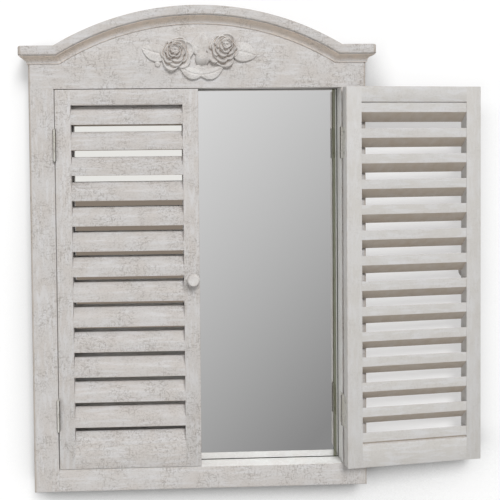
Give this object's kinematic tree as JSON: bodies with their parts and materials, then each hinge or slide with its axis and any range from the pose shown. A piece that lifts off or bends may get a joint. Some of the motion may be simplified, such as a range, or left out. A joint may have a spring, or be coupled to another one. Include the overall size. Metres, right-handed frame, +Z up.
{
  "type": "shutter mirror",
  "caption": "Arched wall mirror with a crown moulding and carved roses, closed by a pair of louvred shutter doors on butt hinges with round knobs.",
  "frame": {"origin": "midway between the two hanging holes, on the wall plane", "axes": "+Y into the wall, +Z up, +X to the right as seen from the front"},
  "size_m": [0.7141, 0.0559, 0.747],
  "materials": {
    "painted_wood": "distressed off-white paint",
    "cast_relief": "painted like the wood",
    "silvered_glass": "polished",
    "backing": "bare board",
    "painted_hinge": "painted over with the wood",
    "steel": "zinc plated"
  },
  "bodies": {
    "frame": {"frame_left_stile": "painted_wood", "frame_right_stile": "painted_wood", "frame_bottom_rail": "painted_wood", "frame_header": "painted_wood", "crown_cap": "painted_wood", "crown_cove_arch": "painted_wood", "crown_cove_shoulders": "painted_wood", "rose_ornament": "cast_relief", "mirror_glass": "silvered_glass", "backing_board": "backing", "backing_tabs": "steel", "hanger_plates": "steel", "hanger_screws": "steel", "frame_hinge_leaves": "painted_hinge", "hinge_pins": "painted_hinge", "frame_hinge_screws": "painted_hinge"},
    "left_shutter": {"left_hinge_stile": "painted_wood", "left_meeting_stile": "painted_wood", "left_top_rail": "painted_wood", "left_bottom_rail": "painted_wood", "left_slat_01": "painted_wood", "left_slat_02": "painted_wood", "left_slat_03": "painted_wood", "left_slat_04": "painted_wood", "left_slat_05": "painted_wood", "left_slat_06": "painted_wood", "left_slat_07": "painted_wood", "left_slat_08": "painted_wood", "left_slat_09": "painted_wood", "left_slat_10": "painted_wood", "left_slat_11": "painted_wood", "left_slat_12": "painted_wood", "left_slat_13": "painted_wood", "left_slat_14": "painted_wood", "left_knob": "painted_wood", "left_hinge_leaves": "painted_hinge", "left_hinge_screws": "painted_hinge"},
    "right_shutter": {"right_hinge_stile": "painted_wood", "right_meeting_stile": "painted_wood", "right_top_rail": "painted_wood", "right_bottom_rail": "painted_wood", "right_slat_01": "painted_wood", "right_slat_02": "painted_wood", "right_slat_03": "painted_wood", "right_slat_04": "painted_wood", "right_slat_05": "painted_wood", "right_slat_06": "painted_wood", "right_slat_07": "painted_wood", "right_slat_08": "painted_wood", "right_slat_09": "painted_wood", "right_slat_10": "painted_wood", "right_slat_11": "painted_wood", "right_slat_12": "painted_wood", "right_slat_13": "painted_wood", "right_slat_14": "painted_wood", "right_knob": "painted_wood", "right_hinge_leaves": "painted_hinge", "right_hinge_screws": "painted_hinge"}
  },
  "joints": [
    {"name": "left_shutter_hinge", "type": "hinge", "parent": "frame", "child": "left_shutter", "pos_m": [-0.2205, -0.039, 0], "axis": [0, 0, -1], "range_deg": [0, 185.5]},
    {"name": "right_shutter_hinge", "type": "hinge", "parent": "frame", "child": "right_shutter", "pos_m": [0.2205, -0.039, 0], "axis": [0, 0, 1], "range_deg": [-185.5, 0]}
  ]
}
